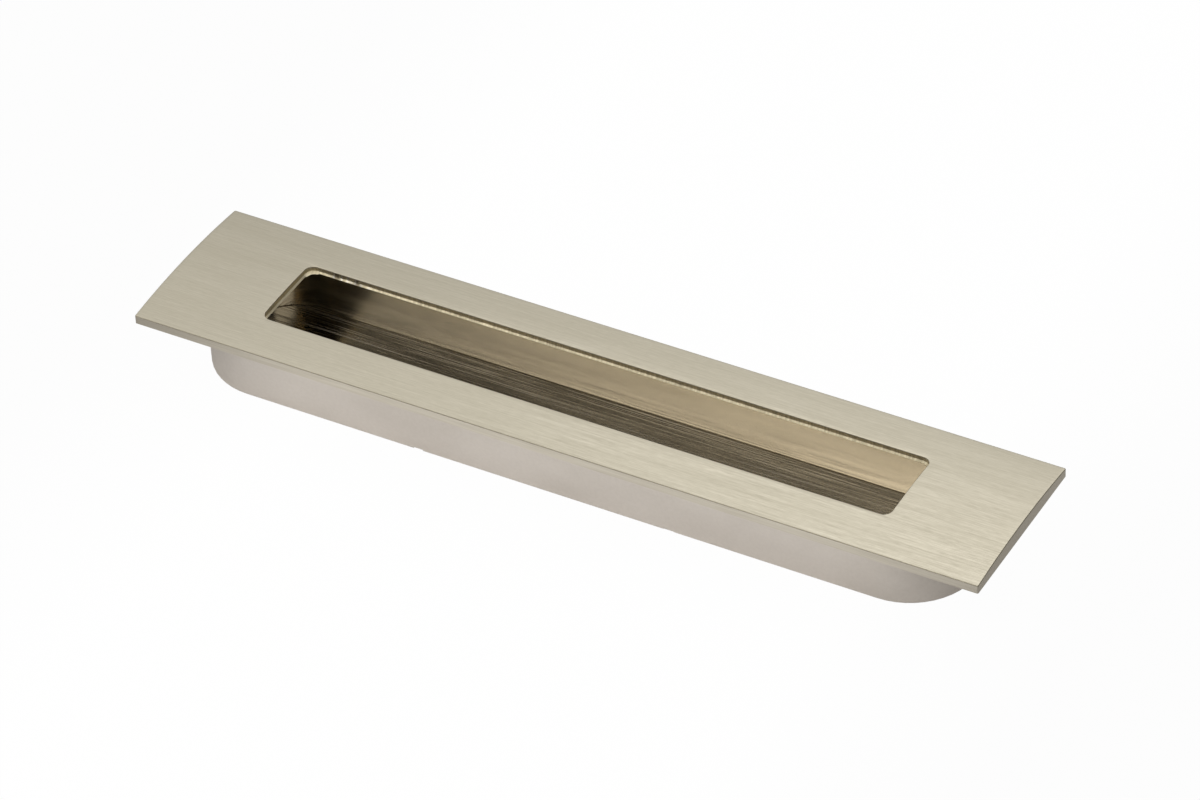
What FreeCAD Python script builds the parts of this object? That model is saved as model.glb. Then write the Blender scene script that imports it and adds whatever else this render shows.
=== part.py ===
"""Recessed pull handle.

A crowned face plate is cast in one with the skirt that drops into a routed
pocket, and a flat floor plate closes the skirt from below.  The lip round
the opening hangs over the finger room, so that room is wider than the
opening above it.

Millimetres.  +X runs along the handle, +Y across it and +Z out of the
door.  The origin is the centre of the skirt's lower edge, on which the
loose handle stands.
"""
import FreeCAD, Part
import math
import os

# Face plate
plate_length = 170.0
plate_width = 35.0
plate_edge_thickness = 1.7
crown_height = 1.0
plate_corner_radius = 0.3
face_edge_radius = 0.15

# Opening, by the borders that it leaves at the ends and along the sides
end_border = 21.6
side_border = 9.0
opening_corner_radius = 1.7
opening_edge_radius = 0.15

# Lip round the opening: its thickness along the long edges, and the bead
# that trimming the casting leaves at its lower edge
lip_thickness = 1.15
trim_bead_reach = 0.25
trim_bead_height = 0.3

# Skirt, by how far the plate stands out past it as a flange, and by the
# short straight that is left between the two round corners of each end
flange_at_ends = 7.8
flange_at_sides = 2.8
skirt_end_straight = 3.2
skirt_depth = 11.4
skirt_wall = 3.9
skirt_bottom_radius = 0.5
skirt_draft_deg = 0.5
finger_room_draft_deg = 2.0

# Floor plate, and the ledge that it is pushed up against from below
floor_plate_thickness = 1.5
floor_plate_setback = 0.4
floor_plate_clearance = 0.05
floor_ledge_width = 1.6

# Nicks where the casting's runners broke off the skirt's front lower edge:
# place along the handle, width and depth of each
runner_nicks = ((-27.8, 1.7, 0.25), (23.1, 2.0, 0.15))
runner_nick_reach = 1.0

# A cutter runs past the face that it opens by this much
overrun = 1.0
# Points closer together than this are one point
same_point = 1e-6

opening_length = plate_length - 2 * end_border
opening_width = plate_width - 2 * side_border
skirt_length = plate_length - 2 * flange_at_ends
skirt_width = plate_width - 2 * flange_at_sides
skirt_corner_radius = (skirt_width - skirt_end_straight) / 2
cavity_length = skirt_length - 2 * skirt_wall
cavity_width = skirt_width - 2 * skirt_wall
cavity_corner_radius = skirt_corner_radius - skirt_wall

# Heights, counted up from the skirt's lower edge
floor_underside = floor_plate_setback
floor_top = floor_underside + floor_plate_thickness
seat_height = skirt_depth
rim_height = seat_height + plate_edge_thickness
crest_height = rim_height + crown_height


def crowned_face_height(y):
    """Return the height of the crowned face at a place across the plate."""
    half_width = plate_width / 2
    crown_radius = (half_width ** 2 + crown_height ** 2) / (2 * crown_height)
    return crest_height - crown_radius + math.sqrt(crown_radius ** 2 - y ** 2)


land_height = crowned_face_height(opening_width / 2)
lip_underside = land_height - lip_thickness
bead_top = lip_underside + trim_bead_height


def vector(x, y, z):
    """Return a point or a direction."""
    return FreeCAD.Vector(x, y, z)


def rounded_outline(length, width, corner_radius, z):
    """Return a closed wire at height z: a rectangle with round corners."""
    inner_x = length / 2 - corner_radius
    inner_y = width / 2 - corner_radius
    centres = ((inner_x, inner_y), (-inner_x, inner_y),
               (-inner_x, -inner_y), (inner_x, -inner_y))
    quarter = math.pi / 2
    arcs = []
    for turn, (centre_x, centre_y) in enumerate(centres):
        angles = (turn * quarter, (turn + 0.5) * quarter, (turn + 1) * quarter)
        points = [vector(centre_x + corner_radius * math.cos(angle),
                         centre_y + corner_radius * math.sin(angle), z)
                  for angle in angles]
        arcs.append(Part.Arc(*points).toShape())
    edges = []
    for arc, following in zip(arcs, arcs[1:] + arcs[:1]):
        edges.append(arc)
        leave = arc.lastVertex(True).Point
        arrive = following.firstVertex(True).Point
        if (arrive - leave).Length > same_point:
            edges.append(Part.LineSegment(leave, arrive).toShape())
    return Part.Wire(edges)


def rounded_block(length, width, corner_radius, bottom, top):
    """Return an upright block with round corners between two heights."""
    outline = rounded_outline(length, width, corner_radius, bottom)
    return Part.Face(outline).extrude(vector(0, 0, top - bottom))


def leaning_block(length, width, corner_radius, bottom, top, lean):
    """Return a round-cornered block whose sides lean.

    The sizes are those at the bottom, and each side stands `lean` further
    out at the top.
    """
    lower = rounded_outline(length, width, corner_radius, bottom)
    upper = rounded_outline(length + 2 * lean, width + 2 * lean,
                            corner_radius + lean, top)
    return Part.makeLoft([lower, upper], True, True)


def draft_lean(height, draft_deg):
    """Return how far a drafted wall leans over a height."""
    return height * math.tan(math.radians(draft_deg))


def points_along(edge):
    """Return five points along an edge, its two ends among them."""
    first, last = edge.ParameterRange
    return [edge.valueAt(first + (last - first) * step / 4) for step in range(5)]


def edges_where(shape, test):
    """Return the edges of a shape whose points all pass a test."""
    return [edge for edge in shape.Edges
            if edge.Length > same_point and all(map(test, points_along(edge)))]


def crowned_plate():
    """Return the face plate with its edges broken, not yet opened."""
    end = -plate_length / 2
    side = plate_width / 2
    front_low = vector(end, -side, seat_height)
    front_high = vector(end, -side, rim_height)
    crest = vector(end, 0, crest_height)
    back_high = vector(end, side, rim_height)
    back_low = vector(end, side, seat_height)
    section = Part.Wire([Part.LineSegment(front_low, front_high).toShape(),
                         Part.Arc(front_high, crest, back_high).toShape(),
                         Part.LineSegment(back_high, back_low).toShape(),
                         Part.LineSegment(back_low, front_low).toShape()])
    plate = Part.Face(section).extrude(vector(plate_length, 0, 0))

    def at_corner(point):
        return (abs(abs(point.x) - plate_length / 2) < same_point
                and abs(abs(point.y) - side) < same_point)

    def on_rim(point):
        inside_end = plate_length / 2 - plate_corner_radius - same_point
        inside_side = side - plate_corner_radius - same_point
        return (point.z > rim_height - same_point
                and (abs(point.x) > inside_end or abs(point.y) > inside_side))

    plate = plate.makeFillet(plate_corner_radius, edges_where(plate, at_corner))
    return plate.makeFillet(face_edge_radius, edges_where(plate, on_rim))


def drafted_skirt():
    """Return the solid skirt, with its lower edge rounded."""
    skirt = leaning_block(skirt_length, skirt_width, skirt_corner_radius,
                          0, seat_height,
                          draft_lean(skirt_depth, skirt_draft_deg))
    lowest = edges_where(skirt, lambda point: point.z < same_point)
    return skirt.makeFillet(skirt_bottom_radius, lowest)


def opening_cutter():
    """Return what the opening removes: its upright land and the bead."""
    land = rounded_block(opening_length, opening_width, opening_corner_radius,
                         bead_top, crest_height + overrun)
    throat = (opening_length - 2 * trim_bead_reach,
              opening_width - 2 * trim_bead_reach,
              opening_corner_radius - trim_bead_reach)
    bead = leaning_block(*throat, lip_underside, bead_top, trim_bead_reach)
    way_through = rounded_block(*throat, lip_underside - overrun, lip_underside)
    return land.fuse([bead, way_through])


def finger_room_cutter():
    """Return the room for the fingers, wider towards its floor.

    Its core was drawn out downwards, so its walls lean that way.
    """
    lean = draft_lean(lip_underside - floor_top, finger_room_draft_deg)
    return leaning_block(cavity_length, cavity_width, cavity_corner_radius,
                         floor_top, lip_underside, -lean)


def rebate_cutter():
    """Return the seat that the floor plate is pushed into from below."""
    return rounded_block(cavity_length + 2 * floor_ledge_width,
                         cavity_width + 2 * floor_ledge_width,
                         cavity_corner_radius + floor_ledge_width,
                         -overrun, floor_top)


def nick_cutters():
    """Return one small box for each nick in the front lower edge."""
    boxes = []
    for place, width, depth in runner_nicks:
        corner = vector(place - width / 2, -skirt_width / 2 - overrun, -overrun)
        boxes.append(Part.makeBox(width, overrun + runner_nick_reach,
                                  overrun + depth, corner))
    return boxes


def handle_body():
    """Return the casting: crowned plate, lip and skirt in one piece."""
    body = crowned_plate().fuse(drafted_skirt())
    body = body.cut([opening_cutter(), finger_room_cutter(), rebate_cutter()])

    def on_mouth(point):
        return (abs(point.x) < opening_length / 2 + same_point
                and abs(point.y) < opening_width / 2 + same_point
                and point.z > land_height - same_point)

    body = body.removeSplitter()
    body = body.makeFillet(opening_edge_radius, edges_where(body, on_mouth))
    return body.cut(nick_cutters())


def floor_plate():
    """Return the flat plate that closes the finger room from below."""
    margin = floor_ledge_width - floor_plate_clearance
    return rounded_block(cavity_length + 2 * margin, cavity_width + 2 * margin,
                         cavity_corner_radius + margin,
                         floor_underside, floor_top)


os.makedirs("parts", exist_ok=True)
pieces = {"handle_body": handle_body(), "floor_plate": floor_plate()}
for name, shape in pieces.items():
    shape.exportStep(f"parts/{name}.step")
    box = shape.BoundBox
    print(name, "valid", shape.isValid(), "solids", len(shape.Solids),
          "volume", round(shape.Volume, 1), "mm3, heights",
          round(box.ZMin, 3), "to", round(box.ZMax, 3))
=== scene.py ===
"""Recessed pull handle, dressed and lit for its portrait.

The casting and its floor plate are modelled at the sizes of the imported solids, with
the rolled-off border, trim marks, plating and brushing that plain solids leave out.
Sizes in the classes are millimetres, and meshes are metres.  +X runs along the
handle, +Y across it and +Z out of the door that it is let into.
"""
import logging
import math
from collections.abc import Callable, Iterable
from dataclasses import dataclass
from enum import Enum

import bmesh
import bpy
from mathutils import Matrix, Vector


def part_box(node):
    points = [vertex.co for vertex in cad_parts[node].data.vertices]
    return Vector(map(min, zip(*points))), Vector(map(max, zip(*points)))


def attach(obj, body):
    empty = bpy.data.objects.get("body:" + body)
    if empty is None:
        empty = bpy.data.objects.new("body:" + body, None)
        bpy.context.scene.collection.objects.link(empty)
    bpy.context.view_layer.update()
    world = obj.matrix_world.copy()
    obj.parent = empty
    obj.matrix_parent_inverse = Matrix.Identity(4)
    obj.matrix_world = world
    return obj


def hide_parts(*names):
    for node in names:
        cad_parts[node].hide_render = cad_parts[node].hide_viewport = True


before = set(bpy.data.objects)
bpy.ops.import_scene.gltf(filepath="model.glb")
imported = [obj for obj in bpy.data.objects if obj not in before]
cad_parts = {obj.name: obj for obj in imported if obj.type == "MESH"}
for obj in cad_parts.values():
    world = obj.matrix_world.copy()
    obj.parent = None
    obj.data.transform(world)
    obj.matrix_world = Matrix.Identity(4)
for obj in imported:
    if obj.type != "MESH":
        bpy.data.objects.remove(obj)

log = logging.getLogger("recessed_pull")

MM = 0.001
UP = (0.0, 0.0, 1.0)
# A corner that an inward margin would close up keeps this radius, in mm
SHARPEST_CORNER = 0.1
# Points closer to a line or a height than this lie on it, in mm
ON_THE_LINE = 0.01
# How far apart the loops of a section stand while they are bridged, in mm
LOOP_SPACING = 20.0
# A loop's own points weigh more than this in its vertex group, and those a bevel adds less
OWN_POINT = 0.99
# The bevel profile that is a quarter of a circle
ROUND = 0.5
# The weight at which the widest faces alone set the direction of a shared normal
WIDEST_FACES = 100
# Layers of ever finer noise in a mark
NOISE_LAYERS = 2.0
# The Z of a face's normal: over the first it is part of the crown, over the second a
# broken edge, under the third it looks down and under the last straight down
CROWN_FACING = 0.955
EDGE_FACING = 0.1
DOWN_FACING = -0.5
STRAIGHT_DOWN = -0.9


def linear(hex_colour: str) -> tuple[float, float, float, float]:
    """Turn an sRGB colour into the linear one that a shader socket takes.

    Args:
        hex_colour: Six hexadecimal digits after a hash sign.

    Returns:
        Red, green, blue and an alpha of one, all linear.
    """
    shares = [int(hex_colour[place:place + 2], 16) / 255 for place in (1, 3, 5)]
    # The sRGB curve: a straight foot, and a power above it
    return (*((s / 12.92 if s <= 0.04045 else ((s + 0.055) / 1.055) ** 2.4) for s in shares), 1.0)


def add_node(tree: bpy.types.NodeTree, kind: str, sockets: dict[str | int, object] | None = None,
             **settings: object) -> bpy.types.Node:
    """Add one node, set its properties and fill its inputs.

    Args:
        tree: The tree that the node joins.
        kind: The node's type name, without its Shader prefix.
        sockets: A value or another node's output for each input, by its name or index.
        settings: Properties of the node itself.

    Returns:
        The new node.
    """
    node = tree.nodes.new("ShaderNode" + kind)
    for name, value in settings.items():
        setattr(node, name, value)
    for name, value in (sockets or {}).items():
        if isinstance(value, bpy.types.NodeSocket):
            tree.links.new(value, node.inputs[name])
        else:
            node.inputs[name].default_value = value
    return node


def add_ramp(tree: bpy.types.NodeTree, value: bpy.types.NodeSocket,
             span: tuple[float, float] = (0.0, 1.0), low: float | bpy.types.NodeSocket = 0.0,
             high: float | bpy.types.NodeSocket = 1.0) -> bpy.types.NodeSocket:
    """Add a level that goes from low to high while a value crosses a span.

    Args:
        tree: The tree that the node joins.
        value: The value that crosses the span.
        span: Where the level leaves low and where it reaches high.
        low: The level before the span.
        high: The level past it.

    Returns:
        The level's socket.
    """
    sockets = {"Value": value, "From Min": span[0], "From Max": span[1], "To Min": low,
               "To Max": high}
    return add_node(tree, "MapRange", sockets).outputs[0]


def add_blend(tree: bpy.types.NodeTree, share: bpy.types.NodeSocket, first: object,
              second: object) -> bpy.types.NodeSocket:
    """Add a mix of two colours.

    Args:
        tree: The tree that the node joins.
        share: The second colour's share, 0 to 1.
        first: The first colour, linear, or its socket.
        second: The second one, likewise.

    Returns:
        The mixed colour's socket.
    """
    # The node names its sockets alike for numbers, vectors and colours, so that only the
    # index tells them apart
    sockets = {0: share, 6: first, 7: second}
    return add_node(tree, "Mix", sockets, data_type="RGBA").outputs[2]


class Pick(Enum):
    """What a selection in edit mode is made of."""

    VERTICES = "VERT"
    EDGES = "EDGE"


def start_fresh() -> None:
    """Leave edit mode and deselect every object."""
    if bpy.context.object and bpy.context.object.mode != "OBJECT":
        bpy.ops.object.mode_set(mode="OBJECT")
    bpy.ops.object.select_all(action="DESELECT")


def take(piece: bpy.types.Object) -> None:
    """Make a piece the active one and the only one selected."""
    start_fresh()
    bpy.context.view_layer.objects.active = piece
    piece.select_set(True)


def edit(piece: bpy.types.Object) -> None:
    """Enter a piece's edit mode."""
    take(piece)
    bpy.ops.object.mode_set(mode="EDIT")


def pick(piece: bpy.types.Object, kind: Pick, wanted: Callable[..., bool]) -> None:
    """Select the elements of an edited mesh that pass a test, and no others.

    Args:
        piece: The piece in edit mode.
        kind: What to select.
        wanted: The test, which is given a bmesh element.
    """
    bpy.ops.mesh.select_mode(type=kind.value)
    bpy.ops.mesh.select_all(action="DESELECT")
    mesh = bmesh.from_edit_mesh(piece.data)
    elements = {Pick.VERTICES: mesh.verts, Pick.EDGES: mesh.edges}[kind]
    for element in [element for element in elements if wanted(element)]:
        element.select_set(True)
    bmesh.update_edit_mesh(piece.data)


def select_group(piece: bpy.types.Object, name: str) -> None:
    """Add the points of a vertex group to the selection."""
    piece.vertex_groups.active_index = piece.vertex_groups[name].index
    bpy.ops.object.vertex_group_select()


def pick_between(piece: bpy.types.Object, first: str, second: str) -> None:
    """Select the edges that run from one loop to another, or along one loop.

    Args:
        piece: The piece in edit mode.
        first: Name of a loop.
        second: Name of the other, or of the same one.
    """
    groups = bmesh.from_edit_mesh(piece.data).verts.layers.deform.verify()
    first_index, second_index = (piece.vertex_groups[name].index for name in (first, second))

    def on(vertex: bmesh.types.BMVert, group: int) -> bool:
        """Tell whether a point belongs to a loop itself."""
        return vertex[groups].get(group, 0.0) > OWN_POINT

    def joins(start: bmesh.types.BMVert, end: bmesh.types.BMVert) -> bool:
        """Tell whether two points are one of each loop, in this order."""
        return on(start, first_index) and on(end, second_index)

    pick(piece, Pick.EDGES, lambda e: joins(*e.verts) or joins(*reversed(e.verts)))


def apply_modifier(piece: bpy.types.Object, kind: str, **settings: object) -> None:
    """Put one modifier on a piece and apply it.

    Args:
        piece: The piece to change.
        kind: The modifier's type.
        settings: Properties of the modifier.
    """
    take(piece)
    modifier = piece.modifiers.new(kind.title(), kind)
    for name, value in settings.items():
        setattr(modifier, name, value)
    bpy.ops.object.modifier_apply(modifier=modifier.name)


def draw_sheet(name: str, length: float, width: float, corner: float, height: float,
               corner_facets: int) -> bpy.types.Object:
    """Draw a flat rectangle with round corners, and stay in its edit mode.

    Args:
        name: The new object's name.
        length: Size along X, in mm.
        width: Size along Y, in mm.
        corner: Radius of the corners, in mm.
        height: Where it lies along Z, in mm.
        corner_facets: Facets of each corner.

    Returns:
        The new object.
    """
    start_fresh()
    bpy.ops.mesh.primitive_plane_add(size=1, location=(0, 0, height * MM))
    sheet = bpy.context.object
    sheet.name = sheet.data.name = name
    bpy.ops.transform.resize(value=(length * MM, width * MM, 1))
    bpy.ops.object.transform_apply(location=True, rotation=True, scale=True)
    edit(sheet)
    bpy.ops.mesh.select_all(action="SELECT")
    bpy.ops.mesh.bevel(offset_type="OFFSET", offset=corner * MM, segments=corner_facets,
                       affect="VERTICES", profile=ROUND)
    return sheet


@dataclass(frozen=True)
class Facets:
    """How finely the loops are divided.

    Attributes:
        corner: Facets of each round corner.
        end_cuts: Cuts made in turn in the straight stretch at each end.
        side_cuts: Cuts made in turn in each long side.
        near: Points closer to a side than this lie on it, in mm.
    """

    corner: int
    end_cuts: tuple[int, ...]
    side_cuts: tuple[int, ...]
    near: float = 0.0001


@dataclass(frozen=True)
class Outline:
    """A loop of the casting: a rectangle with round corners.

    Attributes:
        name: The vertex group that its points are put in.
        length: Size along X, in mm.
        width: Size along Y, in mm.
        corner: Radius of its corners, in mm.
        height: Where it lies along Z, in mm.
    """

    name: str
    length: float
    width: float
    corner: float
    height: float

    def grown(self, name: str, margin: float, height: float) -> "Outline":
        """Return the outline that runs beside this one at an even distance."""
        return Outline(name, self.length + 2 * margin, self.width + 2 * margin,
                       max(self.corner + margin, SHARPEST_CORNER), height)

    def trace(self, facets: Facets, height: float) -> bpy.types.Object:
        """Draw the loop as an object of its own.

        Args:
            facets: How finely the loop is divided.
            height: Where to draw it for now, in mm.

        Returns:
            A mesh of edges only, with its points in a vertex group.
        """
        loop = draw_sheet(self.name, self.length, self.width, self.corner, height, facets.corner)
        bpy.ops.mesh.delete(type="ONLY_FACE")
        near = facets.near * MM
        sides = ((0, self.length / 2, facets.end_cuts), (1, self.width / 2, facets.side_cuts))
        for axis, half, cuts in sides:
            for cut in cuts:
                pick(loop, Pick.EDGES,
                     lambda e: all(abs(abs(v.co[axis]) - half * MM) < near for v in e.verts))
                bpy.ops.mesh.subdivide(number_cuts=cut)
        start_fresh()
        loop.vertex_groups.new(name=self.name).add(range(len(loop.data.vertices)), 1.0, "ADD")
        return loop


def join_outlines(name: str, outlines: list[Outline], facets: Facets) -> bpy.types.Object:
    """Model a closed ring from its loops.

    The loops are bridged while they stand apart like the sections of a telescope,
    because two loops in one plane can be joined back to front, and then slid home.

    Args:
        name: The new piece's name.
        outlines: The loops in order round the ring's section.
        facets: How finely each is divided.

    Returns:
        The piece, with its faces outwards.
    """
    heights = [LOOP_SPACING * place for place in range(len(outlines), 0, -1)]
    loops = [outline.trace(facets, height) for outline, height in zip(outlines, heights)]
    for loop in loops:
        loop.select_set(True)
    bpy.context.view_layer.objects.active = loops[0]
    bpy.ops.object.join()
    piece = bpy.context.object
    piece.name = piece.data.name = name
    edit(piece)
    for first, second in zip(outlines, outlines[1:] + outlines[:1]):
        bpy.ops.mesh.select_mode(type="EDGE")
        bpy.ops.mesh.select_all(action="DESELECT")
        for outline in (first, second):
            select_group(piece, outline.name)
        bpy.ops.mesh.bridge_edge_loops(interpolation="LINEAR")
    for outline, height in zip(outlines, heights):
        bpy.ops.mesh.select_all(action="DESELECT")
        select_group(piece, outline.name)
        bpy.ops.transform.translate(value=(0, 0, (outline.height - height) * MM))
    bpy.ops.mesh.select_all(action="SELECT")
    bpy.ops.mesh.normals_make_consistent(inside=False)
    start_fresh()
    return piece


def smooth(piece: bpy.types.Object, sharp_over_deg: float) -> None:
    """Shade a piece smooth, with its wide faces kept true.

    Args:
        piece: The piece to shade.
        sharp_over_deg: Edges that turn more than this stay sharp.
    """
    take(piece)
    bpy.ops.object.shade_smooth_by_angle(angle=math.radians(sharp_over_deg))
    apply_modifier(piece, "WEIGHTED_NORMAL", weight=WIDEST_FACES, keep_sharp=True)


def bare_material(name: str) -> bpy.types.Material:
    """Add a material that has no nodes yet."""
    made = bpy.data.materials.new(name)
    made.use_nodes = True
    made.node_tree.nodes.clear()
    return made


@dataclass(frozen=True)
class Grain:
    """Marks that a tool or the casting left in a metal.

    Attributes:
        length: How far one mark runs along X, in mm.
        width: How far it runs along Y and Z, in mm.
        depth: How deep the marks are, in mm, or zero where they only change the tone.
        tint: Share of the deep tint in the strongest marks, 0 to 1.
        roughness: How much rougher the strongest marks are than the metal between them.
        onset: Noise value at which a mark starts and the one at which it is strongest.
    """

    length: float
    width: float
    depth: float = 0.0
    tint: float = 0.0
    roughness: float = 0.0
    onset: tuple[float, float] = (0.35, 0.65)

    def mark(self, tree: bpy.types.NodeTree, surface: dict[str, object],
             deep: tuple[float, ...]) -> None:
        """Lay the marks over what the surface has so far.

        Args:
            tree: The material's nodes.
            surface: The shader's inputs, which are changed.
            deep: The linear colour in the marks.
        """
        place = add_node(tree, "TexCoord").outputs["Object"]
        per_metre = (1 / (self.length * MM), 1 / (self.width * MM), 1 / (self.width * MM))
        spread = add_node(tree, "Mapping", {"Vector": place, "Scale": per_metre}).outputs[0]
        noise = add_node(tree, "TexNoise", {"Vector": spread, "Scale": 1.0,
                                           "Detail": NOISE_LAYERS}).outputs[0]
        veil = add_ramp(tree, noise, self.onset)
        share = add_node(tree, "Math", {0: veil, 1: self.tint}, operation="MULTIPLY").outputs[0]
        surface["Base Color"] = add_blend(tree, share, surface["Base Color"], deep)
        if self.roughness:
            rougher = {0: veil, 1: self.roughness, 2: surface["Roughness"]}
            surface["Roughness"] = add_node(tree, "Math", rougher,
                                            operation="MULTIPLY_ADD").outputs[0]
        if self.depth:
            relief = {"Height": noise, "Strength": 1.0, "Distance": self.depth * MM}
            if "Normal" in surface:
                relief["Normal"] = surface["Normal"]
            surface["Normal"] = add_node(tree, "Bump", relief).outputs[0]


@dataclass(frozen=True)
class MetalFinish:
    """A metal surface: its colour, how it scatters light and its marks.

    Attributes:
        name: The material's name.
        tint: Colour of the metal, sRGB.
        deep_tint: Colour in its marks, sRGB.
        roughness: Mean roughness.
        anisotropy: How one-sided the scatter is, 0 to 1.
        across: Direction in which the brushing scatters light.
        grains: Its marks, coarse ones first.
    """

    name: str
    tint: str
    deep_tint: str
    roughness: float
    anisotropy: float = 0.0
    across: tuple[float, float, float] = (0.0, 1.0, 0.0)
    grains: tuple[Grain, ...] = ()

    def material(self) -> bpy.types.Material:
        """Build the material.

        Returns:
            A node material whose pattern is fixed to the piece.
        """
        made = bare_material(self.name)
        tree = made.node_tree
        surface = {"Base Color": linear(self.tint), "Metallic": 1.0, "Roughness": self.roughness,
                   "Anisotropic": self.anisotropy}
        for grain in self.grains:
            grain.mark(tree, surface, linear(self.deep_tint))
        if self.anisotropy:
            across = add_node(tree, "CombineXYZ", dict(enumerate(self.across)))
            surface["Tangent"] = across.outputs[0]
        shader = add_node(tree, "BsdfPrincipled", surface)
        add_node(tree, "OutputMaterial", {"Surface": shader.outputs[0]})
        return made


class Finish(Enum):
    """The finishes of the handle, each named for how the real surface was made."""

    # Nickel plate brushed along the handle: it glows softly and shows hairlines.  Real ones
    # are some 0.05 mm wide, too fine to show, so they are drawn two to three times as wide
    BRUSHED_FACE = MetalFinish("brushed nickel face", "#CBC4B2", "#A9A28D", 0.29, 0.75,
                               grains=(Grain(40.0, 3.0, tint=0.12),
                                       Grain(12.0, 0.16, 0.001, 0.3, 0.1),
                                       Grain(1.6, 0.12, 0.0006, 0.25, 0.06)))
    # Edges broken by a belt: a duller line round the face and the opening, with hardly a mark.
    # Its darker colour is painted shade, for the dark line that these edges show
    BROKEN_EDGE = MetalFinish("broken nickel edge with painted shade", "#A39B88", "#8A8370", 0.3, 0.4, UP,
                              grains=(Grain(12.0, 0.3, 0.0002, 0.3, 0.06),))
    # Nickel over a smooth cast skirt: a pale, even satin with no brush marks
    SATIN_SKIRT = MetalFinish("satin nickel skirt", "#E2DBD3", "#CAC2B8", 0.42,
                              grains=(Grain(22.0, 9.0, tint=0.3, roughness=0.04),
                                      Grain(0.7, 0.7, 0.0012, 0.1, 0.04)))
    # The plate's upright rim, ground flat before it was plated: the same satin, a little
    # warmer, with faint lines along it
    GROUND_RIM = MetalFinish("ground nickel rim", "#D8D1C3", "#B4AB9A", 0.4,
                             grains=(Grain(14.0, 0.4, 0.0004, 0.3, 0.04),))
    # The finger room is plated as cast: nearly a mirror, faintly streaked
    PLATED_WALL = MetalFinish("plated nickel wall", "#DDD5C0", "#C9BFA6", 0.16, 0.5, UP,
                              grains=(Grain(30.0, 5.0, tint=0.1, roughness=0.04),))
    # The lip where a tool trimmed the casting: bright metal with upright scores in it
    TRIMMED_LAND = MetalFinish("trimmed nickel land", "#DCD1B3", "#A1967A", 0.46,
                               grains=(Grain(0.42, 3.0, 0.008, 0.5, 0.1),))
    # Sheet steel brushed along the handle: darker, with long hard scratches, which are also
    # drawn a few times as wide as real ones, so that they show
    BRUSHED_FLOOR = MetalFinish("brushed steel floor", "#B0A799", "#5A5346", 0.125, 0.6,
                                grains=(Grain(40.0, 0.15, tint=0.4, onset=(0.46, 0.64)),
                                        Grain(25.0, 0.2, roughness=0.35, onset=(0.52, 0.66))))


@dataclass(frozen=True)
class TrimMark:
    """A stretch of the back land that the trimming tool scored.

    Attributes:
        start: Where it starts along X, in mm.
        end: Where it ends, in mm.
        depth: How deep its scores are, in mm.
        evenness: Share of each score's depth that is the same for all, 0 to 1.
        outwards: Share of its direction that is square to the metal, 0 to 1.
    """

    start: float
    end: float
    depth: float
    evenness: float = 0.2
    outwards: float = 0.5


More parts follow.
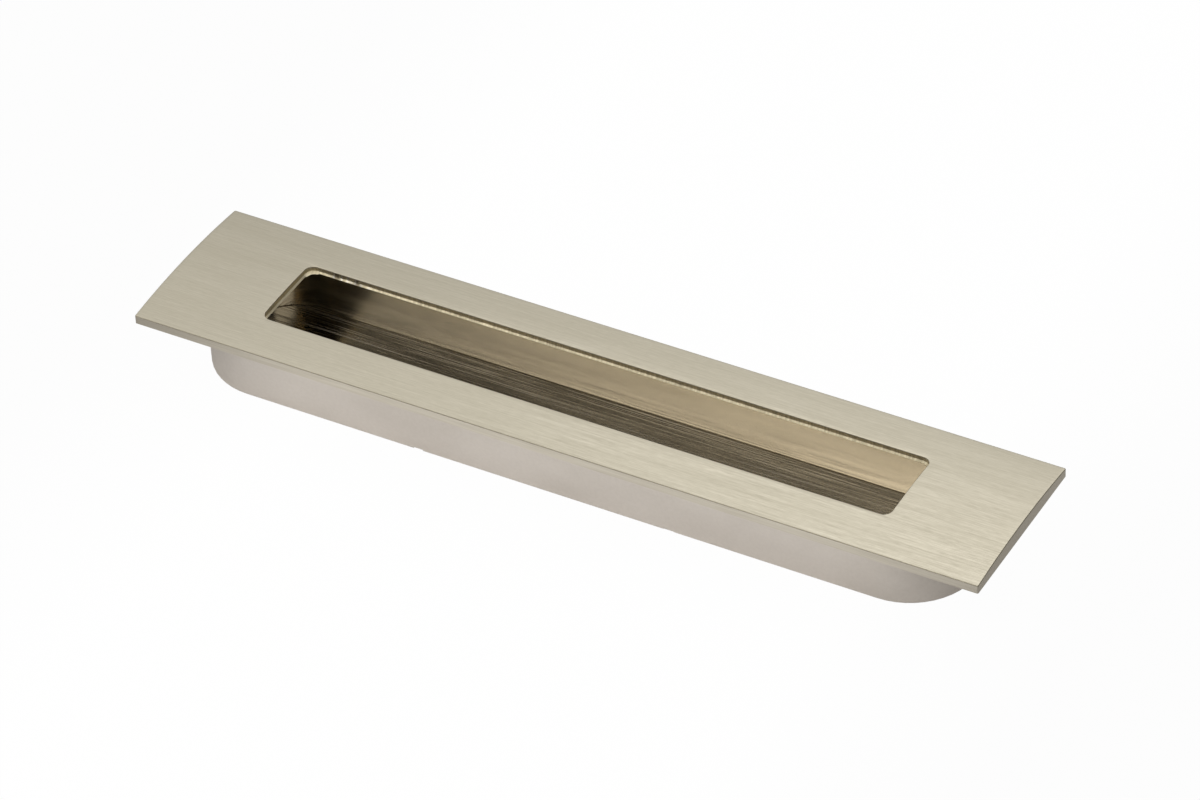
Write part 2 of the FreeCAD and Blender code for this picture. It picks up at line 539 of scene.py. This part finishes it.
@dataclass
class HandleBody:
    """The casting: crowned plate, lip and skirt in one piece.

    Attributes:
        length: Of the plate, in mm, as are all the sizes here.
        width: Of the plate.
        height: From the skirt's lower edge to the crest of the face.
        floor_top: Height of the ledge that the floor plate is pushed up against.
        edge_thickness: Of the plate at its rim.
        crown: How far the middle of the face stands above its long edges.
        plate_corner: Radius of the plate's corners.
        face_edge: Radius of the broken edge round the face.
        end_border: From the end of the plate to the opening.
        side_border: From the side of the plate to the opening.
        opening_corner: Radius of the opening's corners.
        opening_edge: Radius of the broken edge round the opening.
        lip_thickness: Of the lip along the opening's long sides.
        bead_reach: How far the trimmed bead reaches into the opening.
        bead_height: Of that bead.
        burr: How much further it reaches in where the tool did not clear it.
        flange_at_ends: How far the plate stands out past the skirt at the ends.
        flange_at_sides: How far it stands out at the sides.
        skirt_end_straight: Straight stretch between the two round corners of each end.
        skirt_wall: Thickness of the skirt's wall.
        skirt_edge: Radius of its lower edge.
        draft_deg: How far the skirt's outside leans, in degrees.
        finger_room_draft_deg: How far the finger room's walls lean, in degrees.
        ledge: Width of the ledge that the floor plate is pushed up against.
        wall_foot_edge: Radius at the foot of the finger room's walls.
        roll_off: Where polishing rolled the face's border off, as distances in from the
            rim, each with how far the face dips there.
        edge_facets: Facets of each rounded edge.
        crown_cuts: Loops added to the face round the opening, so that it takes the arc.
        former_facets: Facets of the cylinder that the face is pressed onto.
        facets: How finely the loops are divided.
        nicks: Where the casting's runners broke off the skirt: place, width and depth.
        nick_rise: Share of the rounded lower edge's height that a nick takes.
        trim_marks: Where the trimming tool scored the back land.
        sharp_over_deg: Edges that turn more than this stay sharp.
    """

    length: float
    width: float
    height: float
    floor_top: float
    edge_thickness: float = 1.7
    crown: float = 1.0
    plate_corner: float = 0.3
    face_edge: float = 0.15
    end_border: float = 21.6
    side_border: float = 9.0
    opening_corner: float = 1.7
    opening_edge: float = 0.15
    lip_thickness: float = 1.15
    bead_reach: float = 0.29
    bead_height: float = 0.3
    burr: float = 0.3
    flange_at_ends: float = 7.8
    flange_at_sides: float = 2.8
    skirt_end_straight: float = 3.2
    skirt_wall: float = 3.9
    skirt_edge: float = 0.5
    draft_deg: float = 0.5
    finger_room_draft_deg: float = 2.0
    ledge: float = 1.6
    wall_foot_edge: float = 0.2
    roll_off: tuple[tuple[float, float], ...] = ((0.8, 0.0), (0.35, 0.008), (0.0, 0.035))
    edge_facets: int = 4
    crown_cuts: int = 6
    former_facets: int = 4096
    facets: Facets = Facets(corner=12, end_cuts=(24,), side_cuts=(99, 2))
    nicks: tuple[tuple[float, float, float], ...] = ((-27.8, 1.7, 0.25), (23.1, 2.0, 0.05))
    nick_rise: float = 0.7
    trim_marks: tuple[TrimMark, ...] = (TrimMark(-59.0, -51.0, 0.14), TrimMark(-40.0, -11.0, 0.07),
                                        TrimMark(3.0, 18.0, 0.06))
    sharp_over_deg: float = 30.0

    @property
    def seat(self) -> float:
        """Height of the flange's underside."""
        return self.height - self.crown - self.edge_thickness

    @property
    def crown_radius(self) -> float:
        """Radius of the arc across the face."""
        return ((self.width / 2) ** 2 + self.crown ** 2) / (2 * self.crown)

    @property
    def lip_underside(self) -> float:
        """Height of the lip's underside, over the finger room."""
        mouth_side = self.width / 2 - self.side_border
        drop = self.crown_radius - math.sqrt(self.crown_radius ** 2 - mouth_side ** 2)
        return self.height - drop - self.lip_thickness

    def outlines(self) -> list[Outline]:
        """List the loops in order round the section, from the rim inwards.

        Returns:
            The loops, with those of the face still flat at the crest's height.
        """
        rim = Outline("rim", self.length, self.width, self.plate_corner, self.height)
        mouth = Outline("mouth", self.length - 2 * self.end_border,
                        self.width - 2 * self.side_border, self.opening_corner, self.height)
        skirt_width = self.width - 2 * self.flange_at_sides
        foot = Outline("skirt_foot", self.length - 2 * self.flange_at_ends, skirt_width,
                       (skirt_width - self.skirt_end_straight) / 2, 0.0)
        skirt_lean = self.seat * math.tan(math.radians(self.draft_deg))
        room_slope = math.tan(math.radians(self.finger_room_draft_deg))
        room_lean = (self.lip_underside - self.floor_top) * room_slope
        wall_foot = foot.grown("wall_foot", -self.skirt_wall, self.floor_top)
        bead_top = self.lip_underside + self.bead_height
        shoulders = [rim.grown(f"shoulder_{place}", -inset, self.height)
                     for place, (inset, _) in reversed(list(enumerate(self.roll_off[:-1])))]
        return [rim, *shoulders, mouth, mouth.grown("bead_top", 0.0, bead_top),
                mouth.grown("bead_foot", -self.bead_reach, self.lip_underside),
                wall_foot.grown("roof", -room_lean, self.lip_underside),
                wall_foot, wall_foot.grown("ledge", self.ledge, self.floor_top),
                wall_foot.grown("rebate_foot", self.ledge, 0.0), foot,
                foot.grown("skirt_top", skirt_lean, self.seat),
                rim.grown("flange", 0.0, self.seat)]

    def raise_crown(self, piece: bpy.types.Object) -> None:
        """Press the flat loops of the face onto the arc across it."""
        edit(piece)
        pick_between(piece, "shoulder_0", "mouth")
        bpy.ops.mesh.subdivide(number_cuts=self.crown_cuts)
        pick(piece, Pick.VERTICES, lambda v: v.co.z > (self.height - self.face_edge) * MM)
        bpy.ops.object.vertex_group_assign_new()
        crowned = piece.vertex_groups.active.name
        start_fresh()
        axis_height = (self.height - self.crown_radius) * MM
        bpy.ops.mesh.primitive_cylinder_add(vertices=self.former_facets,
                                            radius=self.crown_radius * MM,
                                            depth=2 * self.length * MM,
                                            location=(0, 0, axis_height),
                                            rotation=(0, math.pi / 2, 0))
        former = bpy.context.object
        apply_modifier(piece, "SHRINKWRAP", target=former, wrap_method="PROJECT",
                       use_project_z=True, use_negative_direction=True, vertex_group=crowned)
        bpy.data.objects.remove(former)
        edit(piece)
        names = [f"shoulder_{place}" for place in range(len(self.roll_off) - 1)] + ["rim"]
        for name, (_, dip) in zip(names, self.roll_off):
            pick_between(piece, name, name)
            bpy.ops.transform.translate(value=(0, 0, -dip * MM))

    def break_edges(self, piece: bpy.types.Object) -> None:
        """Round the edges of the face, the opening and the skirt's foot."""
        edit(piece)
        for loop, radius in (("rim", self.face_edge), ("mouth", self.opening_edge),
                             ("skirt_foot", self.skirt_edge), ("wall_foot", self.wall_foot_edge)):
            pick_between(piece, loop, loop)
            bpy.ops.mesh.bevel(offset_type="OFFSET", offset=radius * MM, segments=self.edge_facets,
                               profile=ROUND, affect="EDGES", clamp_overlap=False)

    def leave_burr(self, piece: bpy.types.Object) -> None:
        """Let the bead reach further in at the left back corner, which the tool did not clear."""
        edit(piece)
        corner = self.opening_corner * MM
        end = (self.length / 2 - self.end_border) * MM
        side = (self.width / 2 - self.side_border) * MM
        foot = self.lip_underside * MM
        pick(piece, Pick.VERTICES,
             lambda v: -end < v.co.x < corner - end and side - corner < v.co.y < side
             and abs(v.co.z - foot) < ON_THE_LINE * MM)
        bpy.ops.transform.translate(value=(self.burr * MM, -self.burr * MM, 0))

    def score_land(self, piece: bpy.types.Object) -> None:
        """Roughen the top of the bead on the back land, where the trimming tool scored it."""
        edit(piece)
        side = (self.width / 2 - self.side_border) * MM
        top = (self.lip_underside + self.bead_height) * MM
        for seed, mark in enumerate(self.trim_marks):
            pick(piece, Pick.VERTICES,
                 lambda v: mark.start * MM < v.co.x < mark.end * MM
                 and abs(v.co.y - side) < ON_THE_LINE * MM
                 and abs(v.co.z - top) < ON_THE_LINE * MM)
            bpy.ops.transform.vertex_random(offset=mark.depth * MM, uniform=mark.evenness,
                                            normal=mark.outwards, seed=seed)

    def nick_skirt(self, piece: bpy.types.Object) -> None:
        """Break the runners off the skirt's front lower edge."""
        edit(piece)
        front = (self.skirt_edge - self.width / 2 + self.flange_at_sides) * MM
        for place, width, depth in self.nicks:
            pick(piece, Pick.VERTICES,
                 lambda v: abs(v.co.x - place * MM) < width / 2 * MM
                 and v.co.y < front + ON_THE_LINE * MM
                 and v.co.z < self.nick_rise * self.skirt_edge * MM)
            bpy.ops.transform.translate(value=(0, depth * MM, depth * MM))

    def finish_at(self, spot: Vector, facing: Vector) -> Finish:
        """Tell which finish a face has.

        Args:
            spot: The face's centre, in mm.
            facing: Its normal.

        Returns:
            The finish of the real surface there.
        """
        rim = self.seat + self.edge_thickness
        in_mouth = (abs(spot.x) < self.length / 2 - self.end_border + self.opening_edge
                    and abs(spot.y) < self.width / 2 - self.side_border + self.opening_edge)
        inwards = facing.x * spot.x + facing.y * spot.y < 0
        if facing.z > CROWN_FACING and spot.z > rim - self.face_edge:
            return Finish.BRUSHED_FACE
        # Broken edges take a colour darkened with painted shade
        if facing.z > EDGE_FACING and spot.z > rim - self.face_edge:
            return Finish.BROKEN_EDGE
        if spot.z > self.seat and not inwards and facing.z > DOWN_FACING:
            return Finish.GROUND_RIM
        if in_mouth and spot.z > self.lip_underside and facing.z > DOWN_FACING:
            return Finish.TRIMMED_LAND
        if spot.z > self.lip_underside - ON_THE_LINE and facing.z < STRAIGHT_DOWN:
            return Finish.PLATED_WALL
        if inwards and spot.z < self.lip_underside and facing.z > STRAIGHT_DOWN:
            return Finish.PLATED_WALL
        return Finish.SATIN_SKIRT

    def dress(self, piece: bpy.types.Object, materials: dict[Finish, bpy.types.Material]) -> None:
        """Give each face the material of its finish.

        Args:
            piece: The modelled casting.
            materials: The material of each finish.
        """
        own = [finish for finish in Finish if finish is not Finish.BRUSHED_FLOOR]
        piece.data.materials.clear()
        for finish in own:
            piece.data.materials.append(materials[finish])
        for face in piece.data.polygons:
            face.material_index = own.index(self.finish_at(face.center / MM, face.normal))

    def build(self, materials: dict[Finish, bpy.types.Material]) -> bpy.types.Object:
        """Model and dress the casting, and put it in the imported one's place.

        Args:
            materials: The material of each finish.

        Returns:
            The finished piece.
        """
        piece = join_outlines("brushed_nickel_body", self.outlines(), self.facets)
        self.raise_crown(piece)
        self.break_edges(piece)
        self.leave_burr(piece)
        self.score_land(piece)
        self.nick_skirt(piece)
        smooth(piece, self.sharp_over_deg)
        self.dress(piece, materials)
        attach(piece, "root")
        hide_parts("handle_body")
        return piece


@dataclass
class FloorPlate:
    """The flat plate that closes the finger room from below.

    Attributes:
        length: Along X, in mm, as are all the sizes here.
        width: Along Y.
        underside: Height of its lower face.
        thickness: Of the sheet.
        end_straight: Straight stretch left between the corners of each end.
        edge: Radius of its edges.
        corner_facets: Facets of each round corner.
        edge_facets: Facets of each rounded edge.
        sharp_over_deg: Edges that turn more than this stay sharp.
    """

    length: float
    width: float
    underside: float
    thickness: float
    end_straight: float = 3.2
    edge: float = 0.06
    corner_facets: int = 16
    edge_facets: int = 2
    sharp_over_deg: float = 50.0

    def build(self, materials: dict[Finish, bpy.types.Material]) -> bpy.types.Object:
        """Model and dress the plate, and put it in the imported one's place.

        Args:
            materials: The material of each finish.

        Returns:
            The finished piece.
        """
        corner = (self.width - self.end_straight) / 2
        piece = draw_sheet("brushed_floor_sheet", self.length, self.width, corner, self.underside,
                           self.corner_facets)
        bpy.ops.mesh.select_all(action="SELECT")
        rise = (0, 0, self.thickness * MM)
        bpy.ops.mesh.extrude_region_move(TRANSFORM_OT_translate={"value": rise})
        bpy.ops.mesh.select_all(action="SELECT")
        bpy.ops.mesh.normals_make_consistent(inside=False)
        pick(piece, Pick.EDGES, lambda e: abs(e.verts[0].co.z - e.verts[1].co.z) < self.edge * MM)
        bpy.ops.mesh.bevel(offset_type="OFFSET", offset=self.edge * MM, segments=self.edge_facets,
                           profile=ROUND, affect="EDGES")
        smooth(piece, self.sharp_over_deg)
        piece.data.materials.clear()
        piece.data.materials.append(materials[Finish.BRUSHED_FLOOR])
        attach(piece, "root")
        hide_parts("floor_plate")
        return piece


def bearing(azimuth: float, elevation: float) -> Vector:
    """Return the unit vector from the handle towards a place around it.

    Args:
        azimuth: Degrees round the handle; 0 is in front and 90 on the right.
        elevation: Degrees above the horizon.

    Returns:
        The direction.
    """
    turn, rise = math.radians(azimuth), math.radians(elevation)
    level = math.cos(rise)
    return Vector((math.sin(turn) * level, -math.cos(turn) * level, math.sin(rise)))


@dataclass(frozen=True)
class Softbox:
    """A rectangular lamp that shines on the handle.

    Attributes:
        name: The lamp's name.
        azimuth: Where it stands round the handle, in degrees; 0 is in front and 90 on the right.
        elevation: How high it stands, in degrees.
        distance: How far from the handle, in m.
        size: Its width and height, in m.
        radiance: How bright its face is.
    """

    name: str
    azimuth: float
    elevation: float
    distance: float
    size: tuple[float, float]
    radiance: float

    def build(self, aim: Vector) -> None:
        """Set the lamp up.

        Args:
            aim: The point that it faces, in m.
        """
        light = bpy.data.lights.new(self.name, "AREA")
        light.shape = "RECTANGLE"
        light.size, light.size_y = self.size
        light.energy = self.radiance * math.pi * self.size[0] * self.size[1]
        lamp = bpy.data.objects.new(self.name, light)
        lamp.location = aim + bearing(self.azimuth, self.elevation) * self.distance
        lamp.rotation_euler = (aim - lamp.location).to_track_quat("-Z", "Y").to_euler()
        bpy.context.scene.collection.objects.link(lamp)


@dataclass(frozen=True)
class Flag:
    """A dark card that keeps one part of the surroundings out of the metal.

    Attributes:
        name: The card's name.
        azimuth: Where it stands round the handle, in degrees.
        elevation: How high its middle stands, in degrees.
        distance: How far from the handle, in m.
        size: Its width and height, in m.
        tint: Its colour, sRGB.
    """

    name: str
    azimuth: float
    elevation: float
    distance: float
    size: tuple[float, float]
    tint: str

    def build(self, aim: Vector) -> None:
        """Hang the card up, out of the picture.

        Args:
            aim: The point that it faces, in m.
        """
        start_fresh()
        towards = bearing(self.azimuth, self.elevation)
        bpy.ops.mesh.primitive_plane_add(size=1, location=aim + towards * self.distance,
                                         rotation=towards.to_track_quat("Z", "Y").to_euler())
        card = bpy.context.object
        card.name = self.name
        bpy.ops.transform.resize(value=(*self.size, 1), orient_type="LOCAL")
        # Dull cloth on a card: nothing but a dark shape in the metal
        cloth = bare_material("dull dark cloth")
        tree = cloth.node_tree
        matt = add_node(tree, "BsdfDiffuse", {"Color": linear(self.tint)})
        add_node(tree, "OutputMaterial", {"Surface": matt.outputs[0]})
        card.data.materials.append(cloth)
        card.visible_camera = card.visible_diffuse = card.visible_shadow = False


def level_by_ray(tree: bpy.types.NodeTree, seen: float, mirrored: float | bpy.types.NodeSocket,
                 otherwise: float) -> bpy.types.NodeSocket:
    """Add a value that depends on how a ray comes to the surface.

    Args:
        tree: The tree that the nodes join.
        seen: The value for what the eye sees directly.
        mirrored: The value for what a gloss or a glass shows.
        otherwise: The value for a ray that only carries light.

    Returns:
        The value's socket.
    """
    path = add_node(tree, "LightPath").outputs
    shown = add_node(tree, "Math", {0: path["Is Glossy Ray"], 1: path["Is Transmission Ray"]},
                     operation="MAXIMUM").outputs[0]
    unseen = add_ramp(tree, shown, low=otherwise, high=mirrored)
    return add_ramp(tree, path["Is Camera Ray"], low=unseen, high=seen)


@dataclass
class Studio:
    """The pale floor, the white surroundings and the lamps.

    Attributes:
        floor_size: Width of the floor, in m.
        floor_tint: Colour of the floor round the handle's middle, sRGB.
        floor_painted_shade_tint: Painted shade: colour of the floor past both its ends, sRGB.
        floor_shade_turn: How far out along X the one starts to turn into the other, and where it
            has, in m.
        floor_seen_white: Share of plain white in what the eye sees of the floor.
        floor_mirrored_white: Share of plain white in what the metal shows of it.
        surround: Brightness of the surroundings as a source of light.
        horizon: Brightness that the metal shows of them level with the floor.
        zenith: Brightness that it shows of them straight above.
        lamps: The softboxes.
        flags: The dark cards.
    """

    floor_size: float = 3.0
    floor_tint: str = "#F4F3F1"
    # Painted shade: the grey that the floor turns past the handle's ends, mirrored in the metal
    floor_painted_shade_tint: str = "#8E8C88"
    floor_shade_turn: tuple[float, float] = (0.055, 0.1)
    floor_seen_white: float = 0.975
    floor_mirrored_white: float = 0.15
    surround: float = 0.75
    horizon: float = 0.35
    zenith: float = 1.05
    lamps: tuple[Softbox, ...] = (Softbox("back softbox", -174.0, 52.0, 1.3, (1.0, 0.8), 0.75),
                                  Softbox("front softbox", -24.0, 52.5, 1.2, (0.44, 0.38), 2.3),
                                  Softbox("left softbox", -65.0, 30.0, 0.45, (0.25, 0.15), 3.0))
    flags: tuple[Flag, ...] = (Flag("front flag", -33.0, 19.0, 0.8, (0.9, 0.68), "#606060"),
                               Flag("right flag", 113.0, 44.0, 0.8, (1.2, 0.42), "#404040"))

    def lay_floor(self) -> None:
        """Lay the floor, which keeps the handle's shadow."""
        start_fresh()
        bpy.ops.mesh.primitive_plane_add(size=self.floor_size)
        floor = bpy.context.object
        floor.name = "floor"
        # Matt paper: plain white to the eye, but for a faint shadow of the handle.  What it
        # throws back on the metal is greyer near the handle's ends and past them: painted shade
        # that stands in for light falling off there
        paper = bare_material("white paper floor")
        tree = paper.node_tree
        place = add_node(tree, "TexCoord").outputs["Object"]
        along = add_node(tree, "SeparateXYZ", {0: place}).outputs["X"]
        apart = add_node(tree, "Math", {0: along}, operation="ABSOLUTE").outputs[0]
        # Painted shade: a grey laid on the floor past the handle's ends, for the metal to mirror
        turned = add_ramp(tree, apart, self.floor_shade_turn)
        tint = add_blend(tree, turned, linear(self.floor_tint), linear(self.floor_painted_shade_tint))
        matt = add_node(tree, "BsdfDiffuse", {"Color": tint})
        white = add_node(tree, "Emission", {"Color": (1, 1, 1, 1), "Strength": 1.0})
        share = level_by_ray(tree, self.floor_seen_white, self.floor_mirrored_white, 0.0)
        mix = add_node(tree, "MixShader", {0: share, 1: matt.outputs[0], 2: white.outputs[0]})
        add_node(tree, "OutputMaterial", {"Surface": mix.outputs[0]})
        floor.data.materials.append(paper)

    def surround_white(self) -> None:
        """Set the surroundings: white to the eye, graded in the metal and plainer as a lamp."""
        world = bpy.data.worlds.new("white surroundings")
        bpy.context.scene.world = world
        world.use_nodes = True
        tree = world.node_tree
        tree.nodes.clear()
        direction = add_node(tree, "TexCoord").outputs["Generated"]
        height = add_node(tree, "SeparateXYZ", {0: direction}).outputs["Z"]
        sky = add_ramp(tree, height, low=self.horizon, high=self.zenith)
        level = level_by_ray(tree, 1.0, sky, self.surround)
        glow = add_node(tree, "Background", {"Color": (1, 1, 1, 1), "Strength": level})
        add_node(tree, "OutputWorld", {"Surface": glow.outputs[0]})

    def build(self, aim: Vector) -> None:
        """Lay the floor, set the surroundings and light the handle.

        Args:
            aim: The point that the lamps face, in m.
        """
        self.lay_floor()
        self.surround_white()
        for lamp in self.lamps:
            lamp.build(aim)
        for flag in self.flags:
            flag.build(aim)


def turn_about(axis: str, degrees: float) -> Matrix:
    """Return the 4 by 4 matrix of a turn about one of the axes."""
    return Matrix.Rotation(math.radians(degrees), 4, axis)


@dataclass
class Portrait:
    """The camera at the photograph's viewing angle.

    Attributes:
        azimuth: Where it stands round the handle, in degrees.
        elevation: How high it stands, in degrees.
        roll: How far the picture is turned, in degrees.
        distance: How far it is from what it aims at, in mm.
        aim: The point in the middle of the picture, in mm.
        focal_length: Of the lens, in mm.
        sensor: Width of the picture behind the lens, in mm.
        far_end: Nothing further away than this is drawn, in m.
    """

    azimuth: float = 30.631
    elevation: float = 39.161
    roll: float = 2.955
    distance: float = 1083.379
    aim: tuple[float, float, float] = (1.456, 0.516, 11.035)
    focal_length: float = 182.56
    sensor: float = 36.0
    far_end: float = 10.0

    def build(self) -> None:
        """Set the camera up as the scene's own."""
        lens = bpy.data.cameras.new("portrait camera")
        lens.lens, lens.sensor_width = self.focal_length, self.sensor
        lens.clip_end = self.far_end
        camera = bpy.data.objects.new("portrait camera", lens)
        place = Vector(self.aim) + bearing(self.azimuth, self.elevation) * self.distance
        # A camera looks straight down until it is tilted
        turned = turn_about("Z", self.azimuth) @ turn_about("X", 90 - self.elevation)
        camera.matrix_world = Matrix.Translation(place * MM) @ turned @ turn_about("Z", -self.roll)
        bpy.context.scene.collection.objects.link(camera)
        bpy.context.scene.camera = camera


def main() -> None:
    """Build the handle, its studio and its portrait."""
    logging.basicConfig(level=logging.INFO, format="%(name)s: %(message)s")
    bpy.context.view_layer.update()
    body_low, body_high = (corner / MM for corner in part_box("handle_body"))
    floor_low, floor_high = (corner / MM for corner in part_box("floor_plate"))
    materials = {finish: finish.value.material() for finish in Finish}
    body_size, floor_size = body_high - body_low, floor_high - floor_low
    body = HandleBody(body_size.x, body_size.y, body_high.z, floor_high.z)
    plate = FloorPlate(floor_size.x, floor_size.y, floor_low.z, floor_size.z)
    for part in (body, plate):
        piece = part.build(materials)
        log.info("%s: %d faces", piece.name, len(piece.data.polygons))
    Studio().build(Vector((0, 0, body.height * MM)))
    Portrait().build()
    bpy.context.scene.view_settings.view_transform = "Standard"
    start_fresh()


if __name__ == "__main__":
    main()
